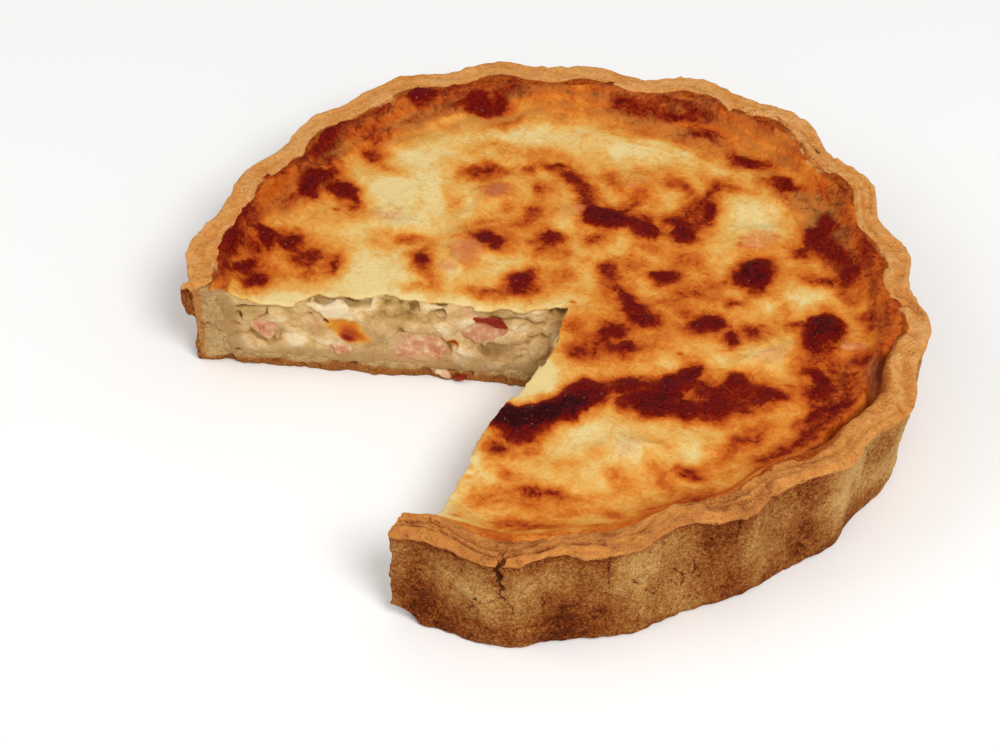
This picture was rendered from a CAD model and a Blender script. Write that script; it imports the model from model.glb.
import math
import time

import bpy
import numpy as np
import openvdb
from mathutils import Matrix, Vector, noise


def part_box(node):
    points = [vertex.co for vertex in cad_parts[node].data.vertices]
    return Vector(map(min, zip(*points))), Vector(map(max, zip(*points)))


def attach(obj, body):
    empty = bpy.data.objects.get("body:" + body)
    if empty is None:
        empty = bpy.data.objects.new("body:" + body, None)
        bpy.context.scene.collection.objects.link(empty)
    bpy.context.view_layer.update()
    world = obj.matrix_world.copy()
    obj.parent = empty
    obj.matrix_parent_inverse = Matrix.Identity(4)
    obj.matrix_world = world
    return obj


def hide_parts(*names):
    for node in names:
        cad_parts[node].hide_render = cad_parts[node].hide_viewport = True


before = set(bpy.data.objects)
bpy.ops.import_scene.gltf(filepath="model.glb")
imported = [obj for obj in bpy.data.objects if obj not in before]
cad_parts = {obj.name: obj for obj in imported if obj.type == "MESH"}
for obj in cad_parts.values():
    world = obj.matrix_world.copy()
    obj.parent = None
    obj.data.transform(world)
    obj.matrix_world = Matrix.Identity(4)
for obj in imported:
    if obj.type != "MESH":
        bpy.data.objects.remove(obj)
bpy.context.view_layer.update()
started = time.time()

mm = 0.001  # lengths are in millimetres from the pie's own middle, and angles in degrees


def report(words):
    print(f"{words} ({time.time() - started:.0f} s)")


# camera, floor and light

view = {
    "place": (0.14974, -0.62038, 0.60403),
    "turn": (0.8162, 0.0132, 0.2494),
    "lens": 102.39,
    "sensor": 36.0,
}
studio = {
    "floorSize": 6.0,
    "floorColour": (0.96, 0.96, 0.955, 1.0),
    "sky": 0.52,
    "lamps": (  # name, place, size, power, colour
        ("key", (0.62, -0.75, 1.15), 0.6, 13.6, (1.0, 0.99, 0.97)),
        ("fill", (-0.9, -0.35, 0.95), 0.8, 3.0, (1.0, 0.99, 0.98)),
    ),
}


def setCamera():
    data = bpy.data.cameras.new("camera")
    data.lens = view["lens"]
    data.sensor_width = view["sensor"]
    camera = bpy.data.objects.new("camera", data)
    camera.location = view["place"]
    camera.rotation_euler = view["turn"]
    bpy.context.scene.collection.objects.link(camera)
    bpy.context.scene.camera = camera


def setStudio():
    bpy.context.scene.view_settings.view_transform = "Standard"
    half = studio["floorSize"] / 2
    mesh = bpy.data.meshes.new("floor")
    corners = [(-half, -half, 0), (half, -half, 0), (half, half, 0), (-half, half, 0)]
    mesh.from_pydata(corners, [], [(0, 1, 2, 3)])
    floor = bpy.data.objects.new("floor", mesh)
    bpy.context.scene.collection.objects.link(floor)
    white = bpy.data.materials.new("paleFloor")
    white.use_nodes = True
    surface = white.node_tree.nodes["Principled BSDF"]
    surface.inputs["Base Color"].default_value = studio["floorColour"]
    surface.inputs["Roughness"].default_value = 0.9
    mesh.materials.append(white)
    world = bpy.data.worlds.new("softRoom")
    world.use_nodes = True
    sky = world.node_tree.nodes["Background"]
    sky.inputs["Color"].default_value = (1.0, 1.0, 1.0, 1.0)
    sky.inputs["Strength"].default_value = studio["sky"]
    bpy.context.scene.world = world
    for name, place, size, power, colour in studio["lamps"]:
        lamp = bpy.data.lights.new(name, "AREA")
        lamp.shape = "DISK"
        lamp.size = size
        lamp.energy = power
        lamp.color = colour
        holder = bpy.data.objects.new(name, lamp)
        holder.location = place
        holder.rotation_euler = (Vector(place) * -1).to_track_quat("-Z", "Y").to_euler()
        bpy.context.scene.collection.objects.link(holder)


setCamera()
setStudio()
report("camera and studio set")

# the pie's own outline and cuts, as they are in the solids

pie = {
    "middle": (-2.1, 2.7),
    "reach": 109.8,  # radius of the rim, without the flutes
    "height": 37.2,
    "wall": 8.8,
    "flare": 0.6,  # how much narrower the foot is
    "base": 6.0,
    "level": 29.2,  # height of the filling
    "climb": 4.6,  # how much higher it stands at the wall
    "climbWidth": 15.0,
    "flutes": 20,
    "fluteDepth": 1.95,
    "fluteStart": 4.8,
    "footFluting": 0.5,
    # waves round the pie: how many, how high, and the angle of a crest
    "outOfRound": ((1, 1.9, 31), (2, 1.1, -29), (3, 0.6, 26), (4, 1.0, -1), (5, 2.8, -14)),
    "fluteShift": ((1, -1.8, 131), (2, -1.1, 21), (3, -1.0, 21)),
    "fluteSwell": ((1, 0.36, -79), (2, 0.41, 58)),
    "rimWave": ((3, 0.45, 70), (7, 0.55, 12), (11, 0.35, 5)),
}
# each cut seen from above: the far one as y along x, the near ones as x along y
farCut = {
    "board": ((-150, -24), (-105.5, -18.5), (-52, -12.4), (4, -6)),
    "top": ((-150, -41), (-106, -24.5), (-92, -19.8), (-50, -11.4), (6.4, 0.5)),
}
nearCrustCut = {
    "board": ((-150, -30.5), (-105, -20), (-55.5, -8), (-6, 4)),
    "top": ((-150, -28), (-105, -17.5), (-52.5, -5.5), (0.5, 6.4)),
}
nearFillingCut = {
    "board": ((-150, -22), (-110, -11.5), (-93, -8), (-58, -4.5), (-40, 0.5), (-5.5, 5)),
    "top": ((-150, -22), (-110, -11), (-93, -8), (-58, -4.7), (-41, 0.3), (-18, 5.6), (0.5, 6.4)),
}


def waves(terms, angle):
    return sum(size * np.cos(count * (angle - math.radians(crest))) for count, size, crest in terms)


def smoothStep(low, high, value):
    share = np.clip((value - low) / (high - low), 0.0, 1.0)
    return share * share * (3 - 2 * share)


def bump(angle, middle, spread):  # 1 at an angle, falling off to each side
    away = (np.degrees(angle) - middle + 180) % 360 - 180
    return np.exp(-((away / spread) ** 2))


def fluting(angle):
    turned = angle - np.radians(pie["fluteStart"] + waves(pie["fluteShift"], angle))
    depth = pie["fluteDepth"] + waves(pie["fluteSwell"], angle)
    return waves(pie["outOfRound"], angle), depth * np.cos(pie["flutes"] * turned)


def outerRadius(angle, z):
    ring, lobe = fluting(angle)
    share = np.minimum(z / pie["height"], 1.0)
    fluted = pie["footFluting"] + (1 - pie["footFluting"]) * share
    return pie["reach"] + (0.75 + 0.25 * share) * ring + fluted * lobe - pie["flare"] * (1 - share)


def innerRadius(angle, z):
    ring, lobe = fluting(angle)
    drape = 0.6 * np.sin(5 * angle + 0.8) + 0.5 * np.sin(13 * angle)
    slope = 2.2 * (1 - np.minimum(z / pie["height"], 1.0))
    return pie["reach"] - pie["wall"] + 0.85 * ring + 0.55 * lobe + drape - slope


def rimTop(angle):
    return pie["height"] + waves(pie["rimWave"], angle)


def behind(cut, along, across, z):  # how far a place lies behind a cut, inside the pie
    board = np.interp(along, *np.array(cut["board"], float).T)
    top = np.interp(along, *np.array(cut["top"], float).T)
    share = z / pie["level"]
    return 0.98 * (across - board * (1 - share) - top * share)


def behindFar(space):
    return behind(farCut, space.x, space.y, space.z)


def behindNear(space, cut):
    return behind(cut, space.y, space.x, space.z)


def behindCuts(space, cut):
    return np.maximum(behindFar(space), behindNear(space, cut))


def cosSin(degrees):
    return math.cos(math.radians(degrees)), math.sin(math.radians(degrees))


# soft random fields, and shapes grown from them

region = {"low": (-124.0, -124.0, -8.0), "high": (124.0, 124.0, 48.0)}
fewestCorners = 400  # what floats free with fewer corners is dropped from a mesh
lattices = {}


def lattice(cell, seed):
    if (cell, seed) not in lattices:
        counts = [int((high - low) / cell) + 6 for low, high in zip(region["low"], region["high"])]
        rolls = np.random.default_rng(seed).uniform(-2.4, 2.4, counts)
        lattices[cell, seed] = rolls.astype(np.float32)
    return lattices[cell, seed]


def splineWeights(places, low, cell):
    scaled = (places - low) / cell + 1
    base = np.floor(scaled).astype(np.int64)
    t = (scaled - base).astype(np.float32)
    weights = ((1 - t) ** 3, 3 * t**3 - 6 * t**2 + 4, -3 * t**3 + 3 * t**2 + 3 * t + 1, t**3)
    return base - 1, [weight / 6 for weight in weights]


class Block:  # evenly spaced places in a box, for growing a shape
    def __init__(self, low, high, step):
        self.low = np.array(low, float)
        self.step = step
        self.axes = [np.arange(a, b + step / 2, step) for a, b in zip(low, high)]
        self.x = self.axes[0][:, None, None].astype(np.float32)
        self.y = self.axes[1][None, :, None].astype(np.float32)
        self.z = self.axes[2][None, None, :].astype(np.float32)
        self.radius = np.hypot(self.x, self.y)
        self.angle = np.arctan2(self.y, self.x)

    def soft(self, cell, seed):  # smooth noise about 0, mostly within 1
        values = lattice(cell, seed)
        for axis, places in enumerate(self.axes):
            base, weights = splineWeights(places, region["low"][axis], cell)
            first = base[0]
            matrix = np.zeros((len(places), base[-1] - first + 4), np.float32)
            for step, weight in enumerate(weights):
                matrix[np.arange(len(places)), base - first + step] = weight
            part = values.take(np.arange(first, first + matrix.shape[1]), axis=axis)
            values = np.moveaxis(np.tensordot(matrix, part, (1, axis)), 0, axis)
        return values


class Places:  # loose places, such as a mesh's corners
    def __init__(self, points):
        self.x, self.y, self.z = np.asarray(points, np.float32).T
        self.radius = np.hypot(self.x, self.y)
        self.angle = np.arctan2(self.y, self.x)

    def soft(self, cell, seed):
        values = lattice(cell, seed)
        rows = [
            splineWeights(places, low, cell)
            for places, low in zip((self.x, self.y, self.z), region["low"])
        ]
        (baseX, weightX), (baseY, weightY), (baseZ, weightZ) = rows
        total = np.zeros(len(self.x), np.float32)
        for i in range(4):
            for j in range(4):
                line = ((baseX + i) * values.shape[1] + baseY + j) * values.shape[2] + baseZ
                pair = weightX[i] * weightY[j]
                for k in range(4):
                    total += pair * weightZ[k] * values.ravel().take(line + k)
        return total


def ringNoise(angle, height, count, tall, seed):  # smooth noise with a number of cells round the pie
    rolls = np.random.default_rng(seed).uniform(-1.7, 1.7, (count, int(150 / tall) + 6))
    baseU, weightU = splineWeights(np.mod(angle, 2 * np.pi) * count / (2 * np.pi), 0.0, 1.0)
    baseV, weightV = splineWeights(np.clip(height, -12, 125), -15.0, tall)
    total = 0.0
    for i in range(4):
        for j in range(4):
            total = total + weightU[i] * weightV[j] * rolls[(baseU + i) % count, baseV + j]
    return total


def roundMax(a, b, blend):
    share = np.maximum(blend - np.abs(a - b), 0) / blend
    return np.maximum(a, b) + 0.25 * blend * share * share


def roundMin(a, b, blend):
    return -roundMax(-a, -b, blend)


def window(block, centre, reach):  # the part of a block round a place
    picks = []
    for places, middle, far in zip(block.axes, centre, np.broadcast_to(reach, 3)):
        first, last = np.searchsorted(places, (middle - far, middle + far))
        picks.append(slice(first, last))
    x = block.x[picks[0]]
    y = block.y[:, picks[1]]
    z = block.z[:, :, picks[2]]
    return tuple(picks), x, y, z


def grow(shape, block, lumps, blend):
    for x, y, z, radius, stretch in lumps:
        picks, wx, wy, wz = window(block, (x, y, z), radius * stretch + blend + 1)
        distance = np.sqrt((wx - x) ** 2 + (wy - y) ** 2 + ((wz - z) / stretch) ** 2) - radius
        shape[picks] = roundMin(shape[picks], distance, blend)


def largePieces(points, faces, fewest):  # drops specks that float free
    label = np.arange(len(points))
    ends = np.concatenate([faces[:, [k, (k + 1) % faces.shape[1]]] for k in range(faces.shape[1])])
    while True:
        low = np.minimum(label[ends[:, 0]], label[ends[:, 1]])
        before = label.copy()
        np.minimum.at(label, ends[:, 0], low)
        np.minimum.at(label, ends[:, 1], low)
        label = label[label]
        if (label == before).all():
            break
    counts = np.bincount(label, minlength=len(points))
    return counts[label] >= fewest


def meshPoints(shape, block, even):
    grid = openvdb.FloatGrid(3.0 * block.step)
    grid.copyFromArray(np.ascontiguousarray(shape, dtype=np.float32))
    points, triangles, quads = grid.convertToPolygons(isovalue=0.0, adaptivity=even)
    triangles = triangles.astype(np.int64).reshape(-1, 3)
    quads = quads.astype(np.int64).reshape(-1, 4)
    links = np.concatenate([triangles, quads[:, :3], quads[:, [0, 2, 3]]])
    keep = largePieces(points, links, fewestCorners)
    fresh = np.cumsum(keep) - 1
    triangles = fresh[triangles[keep[triangles[:, 0]]]]
    quads = fresh[quads[keep[quads[:, 0]]]]
    points = points[keep] * block.step + block.low
    corners = points[np.concatenate([triangles, quads[:, :3], quads[:, [0, 2, 3]]])]
    if np.linalg.det(corners).sum() < 0:
        triangles, quads = triangles[:, ::-1], quads[:, ::-1]
    return points, triangles, quads


def addPiece(name, points, triangles, quads, replaced, material, tones):
    mesh = bpy.data.meshes.new(name)
    placed = points.astype(np.float64).copy()
    placed[:, :2] += pie["middle"]
    mesh.vertices.add(len(points))
    mesh.vertices.foreach_set("co", (placed * mm).ravel())
    loops = np.concatenate([triangles.ravel(), quads.ravel()]).astype(np.int32)
    mesh.loops.add(len(loops))
    mesh.loops.foreach_set("vertex_index", loops)
    starts = np.concatenate([np.arange(len(triangles)) * 3, len(triangles) * 3 + np.arange(len(quads)) * 4])
    mesh.polygons.add(len(starts))
    mesh.polygons.foreach_set("loop_start", starts.astype(np.int32))
    mesh.update(calc_edges=True)
    mesh.validate()
    mesh.shade_smooth()
    for tone, values in tones.items():
        layer = mesh.attributes.new(tone, "FLOAT", "POINT")
        layer.data.foreach_set("value", np.broadcast_to(values, len(points)).astype(np.float32))
    mesh.materials.append(material)
    piece = bpy.data.objects.new(name, mesh)
    bpy.context.scene.collection.objects.link(piece)
    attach(piece, "root")
    for node in replaced:
        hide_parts(node)
    report(f"{name}: {len(triangles) + 2 * len(quads)} triangles")


# shader kit

class Wire:  # a node's output, which can be used in sums
    def __init__(self, paint, socket):
        self.paint = paint
        self.socket = socket

    def sum(self, operation, *values):
        return self.paint.node("ShaderNodeMath", {"operation": operation}, dict(enumerate(values)))

    def __add__(self, other):
        return self.sum("ADD", self, other)

    __radd__ = __add__

    def __sub__(self, other):
        return self.sum("SUBTRACT", self, other)

    def __rsub__(self, other):
        return self.sum("SUBTRACT", other, self)

    def __mul__(self, other):
        return self.sum("MULTIPLY", self, other)

    __rmul__ = __mul__

    def clamped(self):
        limited = {"operation": "ADD", "use_clamp": True}
        return self.paint.node("ShaderNodeMath", limited, {0: self, 1: 0.0})

    def between(self, low, high):
        sockets = {"Value": self, "From Min": low, "From Max": high}
        return self.paint.node("ShaderNodeMapRange", {"interpolation_type": "SMOOTHSTEP"}, sockets)


class Paint:  # one material and its nodes
    def __init__(self, name):
        self.material = bpy.data.materials.new(name)
        self.material.use_nodes = True
        self.tree = self.material.node_tree
        self.surface = self.tree.nodes["Principled BSDF"]
        self.spot = self.node("ShaderNodeTexCoord", output="Object")

    def node(self, kind, settings=None, sockets=None, output=0):
        made = self.tree.nodes.new(kind)
        for name, value in (settings or {}).items():
            if name == "stops":
                self.setStops(made.color_ramp, value)
            else:
                setattr(made, name, value)
        for key, value in (sockets or {}).items():
            self.feed(made.inputs[key], value)
        return Wire(self, made.outputs[output])

    def setStops(self, ramp, stops):
        while len(ramp.elements) < len(stops):
            ramp.elements.new(1.0)
        for element, (place, colour) in zip(ramp.elements, stops):
            element.position = place
            element.color = colour

    def feed(self, socket, value):
        if isinstance(value, Wire):
            self.tree.links.new(value.socket, socket)
        else:
            socket.default_value = value

    def tone(self, name):
        return self.node("ShaderNodeAttribute", {"attribute_name": name}, output="Fac")

    # noise with features of a size in mm
    def grain(self, size, detail=2.0, rough=0.5, stretch=None, warp=0.0):
        spot = self.spot
        if stretch:
            spot = self.node("ShaderNodeVectorMath", {"operation": "MULTIPLY"}, {0: spot, 1: stretch})
        sockets = {"Vector": spot, "Scale": 1 / (size * mm)}
        sockets |= {"Detail": detail, "Roughness": rough, "Distortion": warp}
        return self.node("ShaderNodeTexNoise", {}, sockets)

    def cells(self, size):  # distance to the nearest of many points, about a size in mm apart
        return self.node("ShaderNodeTexVoronoi", {}, {"Vector": self.spot, "Scale": 1 / (size * mm)})

    def ramp(self, value, stops):
        inked = [(place, ink(colour)) for place, colour in stops]
        return self.node("ShaderNodeValToRGB", {"stops": inked}, {0: value})

    def mixed(self, share, first, second):
        settings = {"data_type": "RGBA", "clamp_factor": True}
        first, second = (ink(c) if isinstance(c, str) else c for c in (first, second))
        return self.node("ShaderNodeMix", settings, {0: share, 6: first, 7: second}, output=2)

    def bumped(self, height, strength, depth, below=None):
        sockets = {"Height": height, "Strength": strength, "Distance": depth * mm}
        if below is not None:
            sockets["Normal"] = below
        return self.node("ShaderNodeBump", {}, sockets)

    def finish(self, **sockets):
        for name, value in sockets.items():
            self.feed(self.surface.inputs[name.replace("_", " ")], value)
        return self.material


def linear(part):
    return part / 12.92 if part <= 0.04045 else ((part + 0.055) / 1.055) ** 2.4


def ink(code):  # "#rrggbb" as a linear colour
    return tuple(linear(int(code[k:k + 2], 16) / 255) for k in (1, 3, 5)) + (1.0,)


# ham: where the chunks lie comes from the solids

ham = {
    "step": 0.36,
    # each chunk's length, depth and height, its roll, how browned its upper edge is, and its taper
    "far": (
        (15, 9, 11.5, -12, 0.1, 1.1), (10, 8, 6, -18, 0.2, 0.2), (16, 9, 11, 8, 0.0, -0.3),
        (17, 9, 8.5, 10, 1.0, 0.1),
    ),
    "near": (
        (12, 9, 9, -12, 0.2, 0.2), (11, 8, 8, 18, 0.6, -0.2), (13, 9, 9.5, 6, 0.1, 0.1),
        (12, 8, 9, -20, 0.5, 0.2), (9, 7, 7.5, 30, 0.2, 0.3),
    ),
    # size on top and how it is turned
    "top": (
        (12.5, 9, 28), (11, 8, -35), (12, 9.5, 60), (13, 9, 15), (12, 9.5, 75), (11.5, 9, -20), (10, 8, 80),
        (11, 8.5, 5),
    ),
    "topTall": 8.5,
}


# what the oven did to the top

# each mark: x, y, half length, half width, turn, and how dark
# (0.3 is orange, 0.55 brown, 0.7 red-brown and 1 nearly black)
scorchMarks = {
    "left": (
        (-61, 84, 4, 2.6, 30, 0.95), (-85.5, 36, 5.5, 2.8, 70, 0.92), (-82.5, 43, 3.5, 2, 60, 0.82),
        (-85.5, 53, 6, 2, 75, 0.75), (-75.5, 38.5, 4.5, 3.5, -40, 0.85), (-70.5, 34, 3, 1.6, -60, 0.78),
        (-73.5, 57, 3, 3, 0, 0.6), (-65, 51.5, 3, 1, -30, 0.5), (-97.5, 33, 2.6, 2, 40, 0.88),
        (-90, 27, 7, 2, 70, 0.58), (-91, 8, 3, 2.6, 60, 0.93), (-83.5, 9, 3, 2.2, -60, 0.93),
        (-77, 4.5, 4.5, 3, 20, 0.6), (-68.5, 2, 3.5, 1.6, 75, 0.7), (-100.5, 0, 5, 1.6, 85, 0.9),
        (-95, -8, 4.5, 2.2, 70, 0.88), (-90, -12, 4.5, 2.2, 75, 0.92), (-94, 2, 3, 2, 60, 0.6),
        (-76, -2, 3, 2, 0, 0.45), (-84, -4, 3, 3, 0, 0.35), (-72, 65, 6, 2.5, 45, 0.5),
        (-63, 68, 3, 2, 20, 0.35), (-84, 66, 6, 3, 55, 0.55), (-76, 74, 6, 3, 48, 0.6),
    ),
    "backLeft": (
        (-41, 86, 4.5, 3.4, 10, 0.78), (-34, 82.5, 4.5, 1.1, 35, 0.62), (-36, 56.5, 6.5, 3.6, 12, 0.6),
        (-30, 60, 4, 2, 20, 0.5), (-20.5, 63, 3, 2.4, 70, 0.6), (-12, 66, 2.6, 1.6, 10, 0.78),
        (-7, 61, 4, 2.2, -30, 0.72), (-1, 57, 5, 2.2, -50, 0.68), (-41, 42, 1.6, 3, 0, 0.42),
        (-14.5, 52, 2, 3, 0, 0.5), (-14, 41, 3, 4.5, 10, 0.48), (-27, 33, 5, 2, 20, 0.4),
        (-22, 70, 10, 2, 8, 0.3), (-50, 76, 6, 3, 25, 0.32), (-28, 48, 4.5, 3, 20, 0.42),
        (-33, 71, 3, 1.5, 0, 0.35), (-17, 33, 4, 2.4, 30, 0.42), (-23, 41, 4, 2, 50, 0.35),
    ),
    "farCut": (
        (-24, 23.5, 4.4, 2.7, -8, 0.95), (-28, 27, 4, 1.4, 20, 0.5), (-50, 19, 5, 2.2, 25, 0.6),
        (-42.5, 9.5, 3, 2.2, -60, 0.86), (-44.5, 14.5, 3.4, 1.5, 70, 0.6), (-38, 3, 5, 1.8, -50, 0.5),
        (-8, 8.5, 4.6, 3.4, 75, 0.92), (-10, 3.5, 6, 3, 10, 0.62), (-17, 0, 5, 1.6, 8, 0.62),
        (-4, 29.5, 3.6, 3, 60, 0.72), (-5, 25, 3, 2, 80, 0.55), (-41, -1, 4, 1.6, 0, 0.4),
        (0, 22, 3, 3, 0, 0.42), (-29, 18, 3.6, 3.4, 30, 0.34), (-27, 12, 3, 2.4, 0, 0.3),
        (2, 12, 3, 4, 0, 0.42),
    ),
    "back": (
        (8.5, 42.5, 5.6, 5, -40, 0.97), (14, 50, 4.4, 1.2, 65, 0.72), (21.5, 41.5, 4.6, 3, -20, 0.93),
        (15, 44, 3, 2, 0, 0.85), (33, 42, 4, 3.6, -30, 0.95), (35, 53, 8, 6.5, 80, 0.56),
        (40.5, 54.5, 5.0, 2.2, 95, 0.76), (38, 64, 3.6, 1.5, 70, 0.68), (28, 64, 4.5, 1.8, -50, 0.62),
        (31, 47, 4, 2.5, 0, 0.72), (9, 60, 4.5, 1.6, -50, 0.5), (18, 57, 4.5, 1.6, -55, 0.42),
        (8, 33, 3, 2.2, 0, 0.62), (1.5, 50, 4, 2, -60, 0.66), (47.5, 81, 5.5, 2.2, -15, 0.9),
        (6, 95, 6, 1.6, 4, 0.76), (22, 95, 7, 1.5, -10, 0.76), (31, 88, 5, 1.6, -20, 0.68),
        (60, 69.5, 4.6, 2, -25, 0.9), (42, 68, 5, 1.3, -20, 0.55), (14, 68, 3, 1.2, -40, 0.32),
        (24, 33, 5, 2, 0, 0.42), (36, 30, 6, 3, -20, 0.42),
    ),
    "middle": (
        (14, 19, 4.5, 3.6, -30, 0.62), (31.5, 21.5, 3.6, 3.4, 0, 0.92), (22, 9, 4.6, 1.7, -40, 0.84),
        (27, 5, 3, 1.6, -30, 0.86), (31.5, 0, 3.2, 2.3, 0, 0.86), (59.5, 28, 7, 4.6, 82, 1.02),
        (43, 16, 3.5, 1.6, -15, 0.5), (54.5, 14, 2.6, 1.8, 0, 0.62), (49.5, 4, 4.6, 3.2, 10, 0.93),
        (45, 1, 3, 2, 0, 0.7), (58, -2, 2.2, 2.6, 0, 0.85), (62.5, 3.5, 3.4, 2, -30, 0.66),
        (84, 5, 8.6, 4.3, 88, 1.04), (82, 12, 2.6, 2.4, 0, 1.0), (75, 8, 3, 2.4, 0, 0.6),
        (70, 15, 3, 3, 0, 0.42), (36, 12, 5, 2.4, 30, 0.42), (41, 8, 3, 3, 0, 0.38),
        (20, 26, 5, 2, 10, 0.42), (47, 22, 3.4, 2, 40, 0.42),
    ),
    "right": (
        (74, 49, 4.4, 3, 60, 0.82), (79, 43, 6, 4, -60, 0.6), (71, 42, 3, 3.4, 0, 0.5),
        (88, 33, 4, 1.8, 75, 0.82), (80, 30.5, 5, 1.8, -5, 0.66), (84, 40, 5, 2.4, -60, 0.6),
        (90, 42, 4, 2, -60, 0.6), (77, 55, 4, 2, -50, 0.6), (90, 22, 2, 4, 0, 0.5), (96, 12, 2, 4, 0, 0.55),
        (97, -5, 2.4, 3, 0, 0.62), (86.5, -14, 4.6, 3.4, -45, 0.9), (87, -19, 3.4, 2.4, 20, 0.85),
        (87, -29, 5.5, 1.8, 62, 0.8), (93, -26, 5, 1.7, 68, 0.85), (84, -41, 6, 1.4, 60, 0.66),
        (88, -38, 5, 1.3, 62, 0.62), (78, -50, 5, 1.3, 45, 0.6), (91, -8, 3, 1.4, -50, 0.6),
        (95, -14, 2, 4, 0, 0.5), (65, 20, 3.6, 2, 0, 0.4),
    ),
    "front": (
        (8, -8, 4, 3, 0, 0.4), (14.5, -18, 4.5, 2.6, 10, 0.6), (22.5, -7, 4, 2.6, 40, 0.82),
        (27, -13, 4, 1.7, 15, 0.8), (18, -12, 3, 2, 0, 0.5), (48, -19.5, 4.6, 3.4, 70, 0.99),
        (43, -28, 6, 4.4, 50, 0.97), (31, -28, 6, 2.6, 8, 0.9), (38, -36, 8, 4.6, -10, 0.94),
        (49, -35, 4, 4, 0, 0.88), (64, -26, 9.5, 7, 10, 0.67), (57, -33, 6, 4.5, 0, 0.7),
        (54.5, -26, 4, 5.5, 0, 0.68), (61, -19, 3, 2.4, 0, 0.82), (73, -23, 4, 2.4, 0, 0.76),
        (19, -35.5, 6.5, 5.2, 50, 0.95), (15, -43, 7.5, 5.4, 25, 1.06), (1, -50, 6.5, 5, 10, 1.14),
        (8, -49, 7.5, 5.6, 30, 1.06), (4, -57, 5.5, 2.4, 10, 0.84), (1, -64, 3.6, 2.2, 10, 0.78),
        (5, -72, 3, 2, 0, 0.56), (11, -62, 2, 1.6, 0, 0.42), (17, -78.5, 6.5, 1.2, 4, 0.62),
        (4, -82, 6, 4, 20, 0.38), (14, -84, 5, 2.5, 0, 0.34), (20, -92.5, 7, 2.4, 4, 0.52),
        (10, -93, 4, 2, 0, 0.42), (56, -60, 3.2, 2.6, 0, 0.6), (50, -66, 5, 1.6, -60, 0.46),
        (66, -49, 8, 1.7, 50, 0.48), (37, -71, 4, 5, 0, 0.3), (40, -84, 2.4, 2, 0, 0.46),
        (30, -84, 4, 2, 0, 0.36), (71, -42, 5, 3, 40, 0.5), (50, -78, 5, 2, -30, 0.36),
        (62, -70, 5, 2, 40, 0.4), (28, -60, 3, 1.6, 30, 0.25), (45, -52, 3, 1.4, -20, 0.28),
        (22, -64, 2.4, 1.6, 0, 0.25), (75, -58, 5, 2, 50, 0.42),
    ),
}
# how dark a mark is, by the distance outside its edge
scorchFade = ((-2.4, 1.04), (-1.0, 0.92), (-0.1, 0.74), (0.8, 0.54), (1.9, 0.34), (3.6, 0.16), (6.5, 0.0))
# the same as a mark, then how far it rises
blisters = (
    (59.5, 28, 6.2, 4.2, 82, 1.8), (84, 5, 8, 3.4, 88, 2.6), (-91, 8, 3, 2.5, 60, 1.0),
    (-83.5, 9, 2.8, 2, -60, 0.9),
)
# x, y, reach along x, reach along y, turn, how much warmer (above 0) or creamier (below 0)
warmZones = (
    (30, 22, 34, 16, 0, 0.12), (26, -8, 26, 16, 10, 0.28), (62, 8, 18, 9, 0, -0.08),
    (76, -34, 22, 22, 0, 0.34), (5, -84, 22, 13, 10, 0.32), (12, -22, 14, 16, 0, 0.16),
    (-84, 3, 17, 15, 0, 0.22), (-88, 45, 9, 30, 25, 0.42), (-72, 66, 14, 12, 45, 0.22),
    (-40, 10, 13, 12, 0, 0.04), (-8, 40, 15, 22, 0, 0.2), (-45, 88, 22, 6, 15, 0.35),
    (70, 46, 18, 12, -40, 0.32), (36, -78, 18, 12, 0, 0.2), (-12, 2, 14, 8, 0, 0.18),
    (94, 0, 9, 45, 0, 0.3), (58, -62, 14, 10, 40, 0.16), (85, 55, 16, 10, -45, 0.3),
    (-55, 46, 11, 32, 10, -0.24), (-55, 9, 15, 15, 0, -0.22), (-36, 76, 22, 7, 8, -0.2),
    (14, 77, 26, 9, 0, -0.3), (-66, 10, 7, 16, 0, -0.18), (-44, -3, 24, 7, 5, -0.3),
    (-22, 12, 8, 6, 0, -0.15), (53, 57, 9, 10, 0, -0.2), (47, 42, 5, 7, 0, -0.16),
    (69, 18, 9, 5, -10, -0.5), (77, 24, 7, 4.5, 10, -0.45), (89, 20, 4, 8, 0, -0.3),
    (70, -7, 8, 5, 0, -0.28), (30, -56, 17, 9, 10, -0.16), (50, -47, 12, 6, 10, -0.16),
    (20, -68, 14, 8, 0, -0.14), (57, 66, 8, 8, 0, -0.2), (35, -17, 7, 5, 50, -0.25),
    (14, 62, 9, 5, -40, -0.2), (-85, 20, 9, 8, 0, -0.12),
)
# the same as a mark, then how clearly the ham shows
hamShowing = (
    (-28, 48, 5, 3.4, 20, 1.0), (-57, 28, 5.5, 2.4, 20, 0.8), (-2, 45, 5, 3, 30, 0.7),
    (57, 44, 6, 4.5, 40, 0.8), (70, -6, 4.5, 3, 50, 0.8), (36, -55, 4, 5, 0, 0.4), (102, -10, 3, 6, 0, 1.0),
    (14, 63, 4, 2.4, 0, 0.4), (-30, 17, 5, 6, 20, 0.9), (-34, 9, 3, 2.4, 0, 0.9),
)
# angle, how brown the custard is where it meets the wall, and how wide that band is
border = (
    (-105, 0.34, 4), (-85, 0.36, 5), (-60, 0.38, 5), (-40, 0.44, 7), (-20, 0.42, 8), (5, 0.44, 9),
    (20, 0.48, 10), (40, 0.5, 13), (57, 0.44, 16), (75, 0.46, 17), (92, 0.47, 15), (106, 0.47, 9),
    (118, 0.54, 8), (132, 0.49, 11), (150, 0.49, 10), (165, 0.51, 8), (180, 0.53, 6), (192, 0.5, 4),
    (200, 0.4, 4), (255, 0.34, 4),
)

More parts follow.
